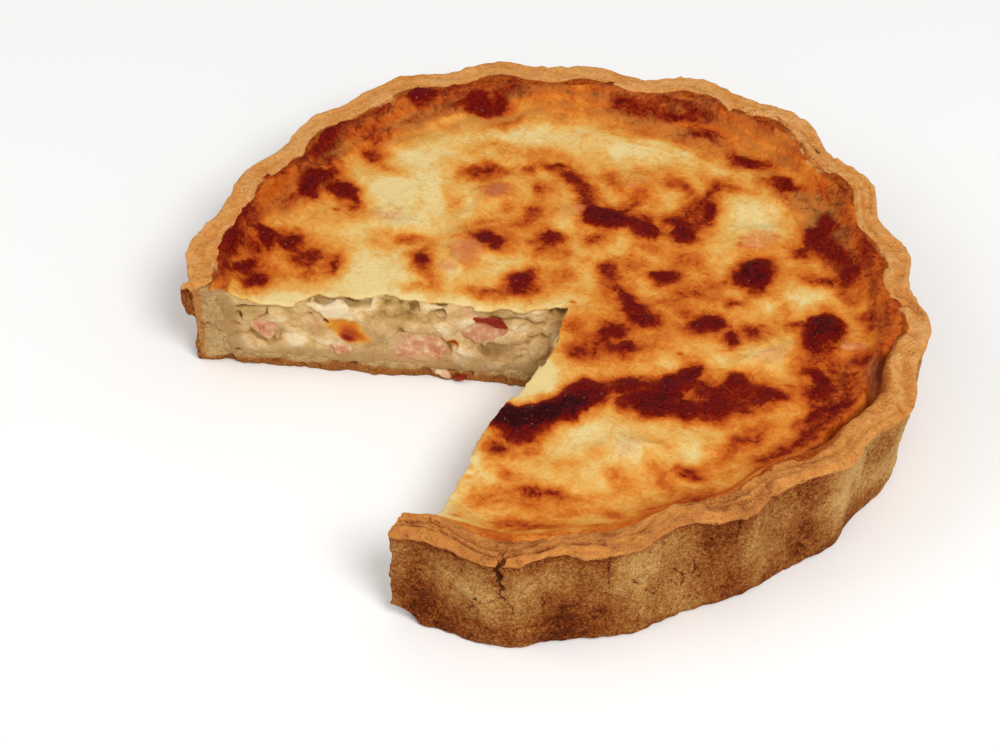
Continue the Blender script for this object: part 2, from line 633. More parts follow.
oven = {
    "flecks": 420,
    "pinholes": 110,
    "film": 0.7,  # how far below the rim's top the custard dried on the wall
    "recessAt": (-13, 15),  # where it shrank away from the wall: angle and spread
    "recessDeep": 9.0,
}


def borderAt(angle, column):
    degrees = (np.degrees(angle) + 105) % 360 - 105
    rows = np.array(border, float)
    return np.interp(degrees, rows[:, 0], rows[:, column])


class Chart:  # values over the pie seen from above
    step = 0.4
    half = 120.0

    def __init__(self, values):
        self.values = values

    @classmethod
    def places(cls):
        edge = np.array((-cls.half, -cls.half, 0.0))
        return Block(edge, -edge, cls.step)

    def at(self, x, y):
        column = np.clip((x + self.half) / self.step, 0, self.values.shape[0] - 1.001)
        row = np.clip((y + self.half) / self.step, 0, self.values.shape[1] - 1.001)
        i, j = column.astype(int), row.astype(int)
        u, v = column - i, row - j
        a, b = self.values[i, j], self.values[i, j + 1]
        c, d = self.values[i + 1, j], self.values[i + 1, j + 1]
        return (a * (1 - v) + b * v) * (1 - u) + (c * (1 - v) + d * v) * u


def oval(x, y, mark):  # share of the way out to a mark's edge, and its short half
    middleX, middleY, long, wide, turn = mark[:5]
    cos, sin = cosSin(turn)
    along = (cos * (x - middleX) + sin * (y - middleY)) / long
    across = (-sin * (x - middleX) + cos * (y - middleY)) / wide
    return np.sqrt(along**2 + across**2), min(long, wide)


def scorchFromMarks(x, y):
    scorch = np.zeros_like(x)
    for marks in scorchMarks.values():
        for mark in marks:
            share, short = oval(x, y, mark)
            fade = np.interp((share - 1) * short, *np.array(scorchFade).T)
            scorch = (scorch**3 + (mark[5] * fade) ** 3) ** (1 / 3)
    return scorch


def bandAtWall(flat, streak, drift):  # the browned band where the custard climbs the wall
    angle = flat.angle[..., 0]
    outside = flat.radius[..., 0] - innerRadius(angle, pie["level"])
    width = borderAt(angle, 2)
    band = smoothStep(-1.15 * width, -0.55 * width, outside + 2.0 * streak + 1.5 * drift)
    uneven = np.clip(0.86 + 0.24 * streak + 0.2 * smoothStep(-5, 0, outside), 0.3, 1.3)
    return borderAt(angle, 1) * band * uneven


def warmthOfTop(flat, x, y, sheet):
    drift = flat.soft(14, 33)[..., 0] + flat.soft(7, 34)[..., 0]
    warm = 0.3 + 0.2 * drift + 0.16 * sheet[2] + 0.1 * sheet[4]
    for zone in warmZones:
        share, _ = oval(x, y, zone)
        warm = warm + zone[5] * np.exp(-(share**4) * 0.7)
    return warm


def smallFlecks(flat, ragged):
    rolls = np.random.default_rng(8)
    flecks = np.zeros_like(ragged)
    for _ in range(oven["flecks"]):
        spotX, spotY = rolls.uniform(-100, 100, 2)
        size = rolls.uniform(0.5, 1.7)
        strength = rolls.uniform(0.15, 0.5)
        picks, wx, wy, _ = window(flat, (spotX, spotY, 0), 5)
        here = picks[:2]
        gap = np.hypot(wx[..., 0] - spotX, (wy[..., 0] - spotY) * 1.4) + 0.7 * ragged[here]
        fleck = strength * (1 - smoothStep(size * 0.4, size * 1.6, gap))
        flecks[here] = np.maximum(flecks[here], fleck)
    return flecks


def pinkFromHam(x, y):
    pink = np.zeros_like(x)
    for patch in hamShowing:
        share, short = oval(x, y, patch)
        pink = np.maximum(pink, patch[5] * (1 - smoothStep(-2.2, 1.4, (share - 1) * short)))
    return pink


def bakeTop():
    flat = Chart.places()
    x, y = np.broadcast_arrays(flat.x[..., 0], flat.y[..., 0])
    radius, angle = flat.radius[..., 0], flat.angle[..., 0]
    # noise from broad to fine, in pairs that push a place along x and y
    cells = ((9, 21), (9, 22), (4, 23), (4, 24), (2, 25), (2, 26), (1.1, 27), (1.1, 28))
    sheet = [flat.soft(cell, seed)[..., 0] for cell, seed in cells]
    warpX = x + 1.3 * sheet[0] + 1.3 * sheet[2] + 0.9 * sheet[4] + 0.5 * sheet[6]
    warpY = y + 1.3 * sheet[1] + 1.3 * sheet[3] + 0.9 * sheet[5] + 0.5 * sheet[7]
    # streaks round the pie where the custard climbs the wall
    streak = ringNoise(angle, radius, 50, 1.5, 31) + 0.5 * ringNoise(angle, radius, 110, 0.8, 32)
    streak = streak + 0.5 * sheet[2]
    scorch = (scorchFromMarks(warpX, warpY) ** 4 + bandAtWall(flat, streak, sheet[0]) ** 4) ** 0.25
    warm = warmthOfTop(flat, warpX, warpY, sheet)
    flecks = smallFlecks(flat, sheet[4]) * smoothStep(0.1, 0.6, warm)  # most of them where the top is warm
    scorch = (scorch**3 + flecks**3) ** (1 / 3)
    pink = pinkFromHam(x + 0.8 * sheet[0] + sheet[2], y + 0.8 * sheet[1] + sheet[3])
    return {"scorch": scorch, "warm": warm, "pink": pink, "sheet": sheet, "streak": streak}


def hillsUnder():  # the same soft hills as the solid has
    places = np.arange(-120, 121, 4.0)
    hills = np.empty((len(places), len(places)))
    for i, x in enumerate(places):
        for j, y in enumerate(places):
            spot = Vector((x, y, 0.0))
            hills[i, j] = 0.9 * noise.noise(spot / 31) + 0.6 * noise.noise(spot / 15)
    fine = Chart.places().axes[0]
    half = np.stack([np.interp(fine, places, column) for column in hills.T], 1)
    return np.stack([np.interp(fine, places, row) for row in half], 0)


def overHam(x, y, height, sheet):  # custard that ran over the chunks near the top
    for number, (length, width, turn) in enumerate(ham["top"], 1):
        low, high = (np.array(corner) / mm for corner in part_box(f"ham_top_{number}"))
        middle = (low + high) / 2
        cos, sin = cosSin(turn)
        dx, dy = x - middle[0] + pie["middle"][0], y - middle[1] + pie["middle"][1]
        along, across = cos * dx + sin * dy, cos * dy - sin * dx
        gap = np.maximum(np.abs(along) - length / 2, np.abs(across) - width / 2) + 0.8 * sheet[4]
        lid = high[2] - 0.2 + 0.6 * sheet[3] + 0.35 * sheet[5] - 0.4 * np.maximum(gap + 0.8, 0)
        height = roundMax(height, lid, 1.0)
    return height


def topHeight(baked):
    flat = Chart.places()
    radius, angle = flat.radius[..., 0], flat.angle[..., 0]
    x, y = flat.x[..., 0], flat.y[..., 0]
    sheet = baked["sheet"]
    edge = innerRadius(angle, pie["level"])
    climb = pie["climb"] + 0.6 * np.sin(4 * angle + 1.0)
    height = pie["level"] + climb * smoothStep(edge - pie["climbWidth"], edge, radius) ** 1.3 + hillsUnder()
    recess = bump(angle, *oven["recessAt"])
    recess = recess * smoothStep(0.25, 0.6, recess + 0.2 * sheet[0])
    # where it is well browned it climbed nearly to the top of the rim
    film = smoothStep(0.34, 0.46, borderAt(angle, 1)) * (0.95 + 0.1 * sheet[3]) * (1 - recess)
    film = film * smoothStep(edge - 4.5, edge + 0.6, radius) ** 1.4
    height = height + np.maximum(rimTop(angle) - oven["film"] - height, 0) * film
    ledge = smoothStep(edge - 3.8, edge - 1.8, radius + 0.7 * sheet[3] + 0.5 * sheet[5])
    height = height - oven["recessDeep"] * recess * ledge
    height += 0.34 * flat.soft(6.5, 41)[..., 0] + 0.22 * sheet[2] + 0.14 * sheet[4] + 0.06 * sheet[6]
    height += 0.3 * baked["streak"] * smoothStep(0.3, 0.6, baked["scorch"]) * smoothStep(75, 92, radius)
    dark = smoothStep(0.55, 0.9, baked["scorch"])
    height += dark * (0.5 + 0.4 * sheet[3] + 0.5 * sheet[5] + 0.3 * sheet[7])
    wrinkle = np.exp(-((flat.soft(5, 42)[..., 0] / 0.16) ** 2)) * smoothStep(0.3, 0.6, baked["scorch"])
    height += 0.35 * wrinkle
    for blister in blisters:
        share, _ = oval(x + sheet[2], y + sheet[3], blister)
        height += blister[5] * np.sqrt(np.clip(1 - share**2, 0, 1)) * (1 + 0.35 * sheet[5])
    rolls = np.random.default_rng(5)
    for _ in range(oven["pinholes"]):
        spotX, spotY = rolls.uniform(-95, 95, 2)
        size = rolls.uniform(0.4, 1.0)
        distance = np.hypot(x - spotX, y - spotY)
        height -= 0.8 * size * np.exp(-((distance / size) ** 2))
    return overHam(x, y, height + 0.4 * baked["pink"], sheet)


baked = bakeTop()
charts = {name: Chart(baked[name]) for name in ("scorch", "warm", "pink", "streak")}
charts["height"] = Chart(topHeight(baked))
report("top baked")

# crust

crust = {
    "step": 0.56,
    "lip": 0.8,  # how far the pressed edge hangs over the wall
    "lipTall": 2.2,
    "tuck": (-14, 20, 3.4),  # where the foot of the wall is drawn in: angle, spread and how far
    # the corner broken off the near end: its height, and where it starts and ends along the wall
    "chip": (5.4, 4.5, 11.0),
    # a flake left standing proud at the far corner of the rim: lumps, each with x, y, z, radius and stretch
    "flake": (
        (-107.2, -23.0, 33.0, 1.5, 1.6), (-107.3, -23.2, 29.0, 1.5, 2.0), (-107.0, -22.6, 24.5, 1.1, 1.9),
    ),
    "wander": (6, 16, 26),  # seeds of the noise that the cracks follow, along each axis
    "crackDepth": 1.3,  # this many times a crack's width
    "crackReach": 16.0,  # how far from a crack's middle its tone is worked out
    # cracks in the wall: angle and height of each point, then width
    "cracks": (
        (((-82.4, 37.6), (-83.3, 34), (-82.8, 31), (-83.1, 28.6)), 0.62),
        (((-83.1, 28.6), (-82.5, 26), (-82.9, 23), (-82.2, 20.6)), 0.42),
        (((-82.7, 21.6), (-84.0, 20.3), (-84.8, 18.9)), 0.32),
        (((-81.8, 19.2), (-81.3, 16.8), (-81.0, 13.5)), 0.3),
        (((-86.2, 20.6), (-86.9, 18.4), (-87.3, 16.8), (-87.2, 14.8), (-88.6, 12.4), (-90.2, 10.8)), 0.36),
        (((-67.4, 35), (-67.5, 28), (-67.2, 20)), 0.25), (((-64.2, 23), (-62.6, 20.2)), 0.34),
        (((-61.6, 16.4), (-60.2, 13)), 0.4),
        (((-57.2, 20.4), (-55.9, 17), (-54.9, 14.6), (-55.4, 12)), 0.36),
        (((-53.4, 19.6), (-52.8, 16.4), (-54.0, 13.6)), 0.36), (((-57.8, 16.4), (-56.4, 13)), 0.32),
        (((-46.6, 33), (-47.1, 24)), 0.3), (((-22.6, 34.5), (-20.9, 29), (-20.3, 26), (-18.8, 22)), 0.34),
        (((-34.6, 9), (-33.4, 6)), 0.35), (((28, 30), (28.6, 26), (28.3, 21)), 0.3),
        (((75, 35), (74.6, 29)), 0.3), (((131, 22), (131.8, 18.5), (131.4, 15)), 0.28),
        (((104, 16), (105, 13.5)), 0.28),
    ),
    # breaks in the rim's top: angle and how far in from the edge, then width
    "breaks": (
        (((-82.7, 0), (-82.9, 3), (-82.5, 6.4)), 0.6),
        (((-100, 6.6), (-95, 6.2), (-91, 5.2), (-86, 4.6)), 0.36),
        (((-100, 3.8), (-95, 3.9), (-90, 3.0)), 0.36),
        (((-79.5, 6.6), (-77, 5.6), (-74, 5.6), (-71.4, 6.4)), 0.5),
        (((-50, 4.6), (-47, 5.2), (-43, 5.6), (-40, 5.0)), 0.42), (((-46, 3), (-44.6, 2.2)), 0.5),
        (((-38, 6.4), (-36, 5.2), (-34, 6.2)), 0.5), (((-37, 3.6), (-34, 3.0)), 0.4),
        (((-15, 7), (-13, 4.6), (-14, 2)), 0.5), (((38, 1.6), (39.4, 3.2), (39, 5)), 0.45),
        (((33.5, 2.5), (34.4, 3.8)), 0.6), (((55, 4), (58, 5.6), (61, 5)), 0.5),
        (((44, 6), (47, 7), (50, 6.6), (54, 7.4)), 0.7), (((50, 3), (52, 3.6)), 0.5),
        (((20, 3), (21.5, 5.5)), 0.5), (((64, 4), (66, 6.2), (69, 6)), 0.5),
        (((116, 6.3), (120, 7), (123, 6.2)), 0.4), (((2, 4), (3, 7)), 0.5),
        (((-4, 3), (-6, 5), (-5, 7)), 0.4),
    ),
    # patches of the wall: angle, height, half of each, and how much paler (above 0) or browner (below 0)
    "patches": (
        (-88.5, 24, 4.6, 9, 0.32), (-76, 26, 4.6, 7, 0.12), (-61.5, 24, 4.6, 13, 0.19),
        (-56, 25, 3.4, 9, 0.06), (-43, 24, 3.4, 13, 0.14), (-38.5, 20, 3.2, 15, 0.15),
        (-27, 22, 4, 14, 0.3), (-22, 26, 3.6, 11, 0.24), (-8, 22, 7, 14, 0.3), (-49.5, 29, 3.6, 9, -0.36),
        (-95.5, 14, 4, 7, -0.2), (-73, 10, 6, 8, -0.16), (-68, 29, 1.6, 9, -0.22),
        (-33.5, 20, 2.6, 17, -0.16), (-17.5, 25, 2.4, 13, -0.14), (-57, 5, 9, 4, 0.06),
        (-46.6, 31, 1.6, 6, -0.2), (-52, 10, 5, 6, -0.12), (-78.5, 33, 3, 3, -0.14),
    ),
}


def onWall(angle, z):
    turn = math.radians(angle)
    radius = float(wallRadius(np.float64(turn), z))
    return np.array((radius * math.cos(turn), radius * math.sin(turn), z))


def onRim(angle, inward):
    turn = math.radians(angle)
    radius = float(outerRadius(np.float64(turn), pie["height"])) - inward
    return np.array((radius * math.cos(turn), radius * math.sin(turn), float(rimTop(turn))))


def crackLines():  # points, width, and the way into the crust
    for points, width in crust["cracks"]:
        line = [onWall(*point) for point in points]
        middle = np.mean(line, axis=0) * (1, 1, 0)
        yield line, width, middle / np.linalg.norm(middle)
    for points, width in crust["breaks"]:
        yield [onRim(*point) for point in points], width, np.array((0, 0, 1))


def crackTone(width, inwards):
    if inwards[2]:
        return 0.3  # breaks in the rim stay pale
    return 1.0 if width > 0.4 else 0.7


def crackGap(places, wander, points, inwards):  # distance to a crack, which wanders about its points
    x, y, z = (place + 0.45 * shift for place, shift in zip(places, wander))
    nearest = np.inf
    for start, end in zip(points, points[1:]):
        run = end - start
        share = ((x - start[0]) * run[0] + (y - start[1]) * run[1] + (z - start[2]) * run[2]) / (run @ run)
        share = np.clip(share, 0, 1)
        away = [place - first - share * step for place, first, step in zip((x, y, z), start, run)]
        sunk = sum(part * axis for part, axis in zip(away, inwards))
        nearest = np.minimum(nearest, sum(part * part for part in away) - 0.85 * sunk * sunk)
    return np.sqrt(nearest) + 0.25 * np.abs(wander[0])


def wallRadius(angle, z):
    middle, spread, far = crust["tuck"]
    low = 1 - np.minimum(z / pie["height"], 1.0)
    return outerRadius(angle, z) - far * bump(angle, middle, spread) * low**1.2


def roughRim(angle):  # where the rim is crumbly and where it is smooth
    spots = ((46, 17), (10, 9), (-10, 9), (-42, 18), (-76, 9), (-98, 7), (190, 8), (78, 5))
    return np.clip(sum(bump(angle, *spot) for spot in spots), 0, 1)


def wallRelief(angle, z):  # striations, dents and grain in the wall
    ribs = 0.22 * ringNoise(angle, z, 520, 9, 71) * smoothStep(3, 9, z)
    dents = 0.3 * ringNoise(angle, z, 130, 5, 72) + 0.16 * ringNoise(angle, z, 330, 2.2, 73)
    pits = np.maximum(ringNoise(angle, z, 420, 1.5, 74) - 0.45, 0)
    return ribs + dents - 0.7 * pits


def rimFolds(angle, inward):  # grooves where the edge was folded over itself
    flat = 0 * inward
    amount = flat
    for place, seed in ((2.1, 85), (4.5, 86)):
        line = place + 1.1 * ringNoise(angle, flat, 34, 40, seed)
        line = line + 0.5 * ringNoise(angle, flat, 150, 40, seed + 2)
        deep = np.clip(0.45 + 0.9 * ringNoise(angle, flat, 46, 40, seed + 4), 0, 1)
        amount = np.maximum(amount, deep * np.exp(-(((inward - line) / 0.5) ** 2)))
    where = 0.3 + 0.7 * bump(angle, -86, 34) + 0.6 * bump(angle, -42, 16) + 0.3 * bump(angle, 46, 20)
    return amount * np.minimum(where, 1.0)


def rimRelief(angle, inward):  # rolled folds, grain and crumbly places on top of the rim
    rough = roughRim(angle)
    folds = 0.28 * ringNoise(angle, inward, 80, 1.6, 75) + 0.22 * ringNoise(angle, inward, 200, 1.4, 76)
    grain = (0.16 + 0.34 * rough) * ringNoise(angle, inward, 460, 1.3, 77)
    pits = np.maximum(ringNoise(angle, inward, 300, 1.8, 78) - 0.45, 0)
    return folds + grain - (0.3 + 0.7 * rough) * pits - 0.75 * rimFolds(angle, inward)


def underLip(space, mid, fine):  # how far a place lies below the pressed edge of the rim
    flat = 0 * space.radius
    ragged = ringNoise(space.angle, flat, 44, 40, 84) + 0.6 * ringNoise(space.angle, flat, 150, 40, 89)
    return rimTop(space.angle) - space.z - crust["lipTall"] - ragged - mid - 0.9 * fine


def chipAtNearEnd(space, near, mid, fine):
    tall, start, end = crust["chip"]
    chip = tall * (1 - smoothStep(start, end, near)) - space.z + 0.5 * mid + 0.3 * fine
    return np.minimum(np.minimum(chip, space.radius - 97), np.minimum(near + 8, -50 - space.y))


def tornPastry(space, inward, big, mid, fine):  # how far a cut is pitted and torn, mostly near its outside
    outer = smoothStep(0.5, 3.5, inward)
    tear = (0.3 + 0.25 * outer) * (mid + 0.9 * fine) + (0.2 + 0.25 * smoothStep(2, 8, space.z)) * big
    pits = 2.4 * np.maximum(space.soft(2.6, 4) - 0.15, 0) * (0.15 + 0.85 * outer)
    pits = pits * (0.4 + 0.6 * smoothStep(0.5, 3, space.z))
    return tear + pits + (0.3 + 0.9 * outer) * np.maximum(space.soft(1.5, 8) - 0.2, 0)


def crustShape(space):
    angle, z = space.angle, space.z
    big, mid, fine = space.soft(11, 1), space.soft(4.2, 2), space.soft(1.5, 3)
    rough = roughRim(angle)
    turns = np.linspace(-np.pi, np.pi, 2881)
    table = wallRelief(turns[:, None], space.axes[2][None, :]).astype(np.float32)
    relief = table[np.rint((angle[..., 0] + np.pi) * 2880 / (2 * np.pi)).astype(int)]
    # the rim was pressed flat, so its edge hangs over the wall and breaks off raggedly below
    overhang = 1 - smoothStep(-0.5, 0.5, underLip(space, mid, fine))
    lip = crust["lip"] * (1 - 0.8 * bump(angle, 20, 26))
    side = space.radius - wallRadius(angle, z) - lip * (overhang - 0.4)
    broken = 0.35 + 0.65 * bump(angle, -66, 40)
    side = side - relief * (1 - 0.6 * overhang) + 0.2 * big
    side = side + (0.15 + 0.25 * broken) * fine + 0.3 * broken * overhang * mid
    crumbs = np.maximum(space.soft(1.9, 7) - 0.45, 0)
    side = side - (0.5 + 1.1 * overhang) * broken * crumbs
    inside = innerRadius(angle, z) - space.radius - 0.5 * big - 0.3 * mid
    inward = outerRadius(angle, pie["height"]) - space.radius
    roll = 0.3 * np.exp(-(((inward - 1.2) / 0.9) ** 2)) * (1 + mid)
    upper = z - rimTop(angle) - roll - rimRelief(angle, inward) + 0.25 * mid + 0.2 * fine
    upper = upper + 0.4 * rough * big - (0.3 + 0.9 * rough) * crumbs
    wall = roundMax(roundMax(side, upper, 0.9), inside, 3.0)
    floor = roundMax(side, z - pie["base"], 1.0)
    shape = roundMax(roundMin(wall, floor, 3.0), -z, 1.4)
    near = behindNear(space, nearCrustCut)
    shape = roundMax(shape, chipAtNearEnd(space, near, mid, fine), 0.7)
    torn = tornPastry(space, inward, big, mid, fine)
    return roundMax(shape, torn - np.maximum(behindFar(space), near), 0.4)


def buildCrust(material):
    low, high = (-119, -117.5, -2.5), (117.5, 117.5, 41)
    block = Block(low, high, crust["step"] * (1.0))
    shape = crustShape(block)
    wander = [block.soft(2.0, seed) for seed in crust["wander"]]
    for points, width, inwards in crackLines():
        middle = np.mean(points, axis=0)
        reach = np.max(np.abs(np.array(points) - middle), axis=0) + 3
        picks, *places = window(block, middle, reach)
        gap = crackGap(places, [shift[picks] for shift in wander], points, inwards)
        shape[picks] = np.maximum(shape[picks], crust["crackDepth"] * width - gap)
    grow(shape, block, crust["flake"], 1.6)
    points, triangles, quads = meshPoints(shape, block, 0.01)
    addPiece("crust_shell", points, triangles, quads, ["crust"], material, crustTones(points))


def wallToast(space, lip, mid):  # how brown the wall is
    angle, z = space.angle, space.z
    pale = 0.14 * ringNoise(angle, z, 40, 22, 81) + 0.12 * ringNoise(angle, z, 90, 9, 82)
    pale = pale + 0.07 * ringNoise(angle, z, 300, 5, 83)
    pale = pale + 0.1 * fluting(angle)[1] / pie["fluteDepth"] * (1 - bump(angle, -60, 60))
    for middle, height, half, tall, strength in crust["patches"]:
        pale = pale + strength * bump(angle, middle, half) * np.exp(-(((z - height) / tall) ** 2))
    foot = 1 - smoothStep(1.5, 12, z)
    shaded = np.exp(-(((lip - 1.0) / 1.1) ** 2)) * (1 - bump(angle, -12, 26))
    toast = 0.46 + 0.13 * foot + 0.16 * shaded - pale + 0.05 * mid - 0.16 * wallRelief(angle, z)
    toast = toast + 0.08 * bump(angle, -25, 42) + 0.14 * bump(angle, -40, 18)
    return toast - 0.1 * bump(angle, 0, 45)


def rimGold(angle, deep, lip, big, mid):  # how golden the rim is
    gold = 0.86 - 0.36 * bump(angle, -80, 40) - 0.1 * bump(angle, -34, 22)
    gold = gold + 0.04 * bump(angle, 24, 40) + 0.06 * bump(angle, 165, 40)
    gold = gold - 0.3 * bump(angle, *oven["recessAt"]) * smoothStep(6.5, 8.5, deep + 0.6 * mid)
    gold = gold + 0.14 * np.exp(-(((lip + 0.7) / 0.8) ** 2))
    folded = rimRelief(angle, deep) - 0.35 * rimFolds(angle, deep)
    return gold + 0.4 * folded + 0.07 * big + 0.05 * mid


def crackTones(points, space):
    crack = np.zeros_like(space.x)
    wander = [space.soft(2.0, seed) for seed in crust["wander"]]
    for line, width, inwards in crackLines():
        away = np.linalg.norm(points - np.mean(line, axis=0), axis=1)
        near = np.nonzero(away < crust["crackReach"])[0]
        gap = crackGap(points[near].T, [shift[near] for shift in wander], line, inwards)
        deep = crust["crackDepth"] * width
        within = 1 - smoothStep(deep - 0.1, deep + 0.35, gap)
        crack[near] = np.maximum(crack[near], crackTone(width, inwards) * within)
    return crack


def crustTones(points):
    space = Places(points)
    angle, z = space.angle, space.z
    big, mid, fine = space.soft(11, 11), space.soft(4.5, 12), space.soft(1.5, 3)
    inward = wallRadius(angle, z) - space.radius
    deep = outerRadius(angle, pie["height"]) - space.radius
    # the pale crumb shows at the cuts and low on the inner wall
    section = 1 - smoothStep(1.6, 3.0, behindCuts(space, nearCrustCut))
    section = section * smoothStep(0.3, 1.6, inward) * (1 - smoothStep(34, 36.5, z))
    section = np.maximum(section, smoothStep(4, 6, inward) * (1 - smoothStep(25, 28, z + mid)))
    lip = underLip(space, space.soft(4.2, 2), fine)
    blend = 1.3 + 2.8 * bump(angle, -12, 26)
    rim = 1 - smoothStep(-blend, blend, lip - 0.3 * blend)
    rim = np.maximum(rim, smoothStep(3.8, 5.2, inward) * smoothStep(25, 29, z))
    # custard that stuck to the inside of the rim
    inner = smoothStep(6.2, 7.8, deep + 0.6 * mid + 0.4 * fine) * smoothStep(26, 30, z)
    glaze = smoothStep(0.36, 0.47, borderAt(angle, 1)) * inner * (0.8 + 0.4 * mid + 0.4 * big)
    return {
        "toast": wallToast(space, lip, mid),
        "rim": rim,
        "gold": rimGold(angle, deep, lip, big, mid),
        "section": section,
        "heart": smoothStep(1.5, 5.5, np.minimum(inward + 0.8 * mid, z + 0.8 * mid)),
        "glaze": glaze,
        "crack": crackTones(points, space),
        "foot": 1 - smoothStep(1.0, 5.5, z + 0.8 * mid),
    }


def crustMaterial():
    paint = Paint("bakedPastry")
    fine, speck, broad = paint.grain(0.6, 3.0, 0.7), paint.grain(1.5, 4.0, 0.75), paint.grain(6.0, 3.0, 0.6)
    sand, crumbs = paint.cells(0.75), paint.cells(1.7)
    grainy = (fine - 0.5) * 1.1 + (speck - 0.5) * 0.8 + (sand - 0.45) * 0.22
    grainy = grainy + (0.35 - crumbs).between(0.0, 0.3) * 0.16
    toast = paint.tone("toast") + grainy + (broad - 0.5) * 0.3
    stops = (
        (0.0, "#dfb170"), (0.2, "#cd9a58"), (0.38, "#b88042"), (0.55, "#a3632c"), (0.7, "#8e491a"),
        (0.85, "#72310e"), (1.0, "#4e1f0a"),
    )
    wall = paint.ramp(toast, stops)
    gold = paint.tone("gold") - grainy * 0.65 + (broad - 0.5) * 0.3
    stops = (
        (0.0, "#7c3c16"), (0.2, "#a55a28"), (0.42, "#c97f40"), (0.62, "#df8f45"), (0.8, "#ea9e51"),
        (1.0, "#f2b069"),
    )
    rim = paint.ramp(gold, stops)
    edge = (paint.tone("rim") + (fine - 0.5) * 1.6 + (speck - 0.5) * 0.8).between(0.4, 0.6)
    colour = paint.mixed(edge, wall, rim)
    crumb = 0.68 - paint.tone("foot") * 0.3 - grainy * 0.9 + (broad - 0.5) * 0.4
    pale = paint.ramp(crumb, ((0.0, "#8c6836"), (0.35, "#b98e56"), (0.65, "#d0a970"), (1.0, "#e6c792")))
    brown = paint.ramp(crumb, ((0.0, "#6a3210"), (0.4, "#a9682f"), (0.7, "#cc8e4c"), (1.0, "#dfa768")))
    inside = paint.mixed((paint.tone("heart") + (speck - 0.5)).between(0.2, 0.8), brown, pale)
    colour = paint.mixed((paint.tone("section") + (speck - 0.5)).between(0.2, 0.8), colour, inside)
    glaze = (paint.tone("glaze") + (speck - 0.5) * 0.8).between(0.25, 0.62)
    custard = paint.ramp(speck, ((0.3, "#7c2408"), (0.5, "#aa4a10"), (0.7, "#cf7426")))
    colour = paint.mixed(glaze, colour, custard)
    crack = (paint.tone("crack") + (fine - 0.5) * 1.3 + (speck - 0.5) * 0.9).between(0.42, 0.7)
    colour = paint.mixed(crack * 0.85, colour, "#571f08")
    uneven = fine * 0.7 + speck * 0.9 - sand * 0.25 + crumbs.between(0.05, 0.4) * 0.4
    normal = paint.bumped(uneven, 1.0, 1.1)
    roughness = 0.85 - glaze * 0.4
    return paint.finish(Base_Color=colour, Roughness=roughness, Normal=normal, Specular_IOR_Level=0.06)


# filling

filling = {
    "step": 0.52,
    "skin": 1.4,  # thickness of the browned top where it stands over a cut
    "slab": 7.5,  # depth of the finer custard behind a cut
    # where the browned top starts: place along the cut, then how far behind it (below 0 it hangs over)
    "farSkin": (
        (-108, -0.6), (-96, -0.9), (-85, -0.7), (-75, -1.1), (-72.5, 1.0), (-69, 4.0), (-64, 3.2),
        (-60, 4.6), (-54, 3.4), (-49, 4.6), (-44, 2.0), (-38, 2.4), (-30, 1.2), (-23, 0.5), (-20, -0.5),
        (-6, -0.7), (1, -0.5), (6, -0.5),
    ),
    "nearSkin": (
        (-110, 0.0), (-90, -0.5), (-70, 0.3), (-45, -0.4), (-36, 0.5), (-24, 0.9), (-12, 0.6), (-3, 0.6),
        (6, -0.8),
    ),
}


def skinStart(name, along):
    return np.interp(along, *np.array(filling[name], float).T)


# how far a place lies outside the wall's inner face, less where the custard climbed over its rounded edge
def sideways(space):
    climbed = smoothStep(0.36, 0.46, borderAt(space.angle, 1)) * smoothStep(30, 33, space.z)
    return space.radius - innerRadius(space.angle, space.z) - 0.8 - 1.6 * climbed


def fillingShape(space, topOf):
    upper = space.z - topOf
    body = np.maximum(np.maximum(upper, sideways(space)), pie["base"] - 0.6 - space.z)
    far, near = behindFar(space), behindNear(space, nearFillingCut)
    core = np.maximum(body, filling["slab"] - 1.5 - np.maximum(far, near))
    ragged = 0.6 * space.soft(6, 51) + 0.8 * space.soft(2.4, 52) + 0.4 * space.soft(1.2, 53)
    farSkin = far - skinStart("farSkin", space.x) + ragged
    nearSkin = near - skinStart("nearSkin", space.y) + 0.7 * ragged
    skin = np.maximum(body, topOf - filling["skin"] - space.z)
    return np.minimum(core, roundMax(skin, -np.maximum(farSkin, nearSkin), 0.8))


def topTones(points):
    x, y = points[:, 0], points[:, 1]
    space = Places(points)
    upper = charts["height"].at(x, y) - points[:, 2]
    # paler along both cuts, and more so along the far one
    cream = 0.3 * (1 - smoothStep(0.5, 6.0, behindCuts(space, nearFillingCut)))
    cream = cream + 0.22 * (1 - smoothStep(1.0, 11.0, behindFar(space))) * smoothStep(14, 4, space.x)
    khaki = np.maximum(bump(space.angle, 38, 14), 0.85 * bump(space.angle, 112, 80))
    khaki = khaki * smoothStep(84, 94, space.radius) * np.clip(0.45 + charts["streak"].at(x, y), 0, 1)
    return {
        "scorch": charts["scorch"].at(x, y),
        "warm": charts["warm"].at(x, y) - cream,
        "pink": charts["pink"].at(x, y),
        "inside": smoothStep(0.5, 1.2, upper),
        "khaki": khaki,
    }


def buildFilling(material):
    block = Block((-108, -110, 4.4), (112, 108, 39.5), filling["step"] * (1.0))
    topOf = charts["height"].at(block.x[..., 0], block.y[..., 0])[..., None].astype(np.float32)
    points, triangles, quads = meshPoints(fillingShape(block, topOf), block, 0.005)
    addPiece("baked_top", points, triangles, quads, ["filling"], material, topTones(points))


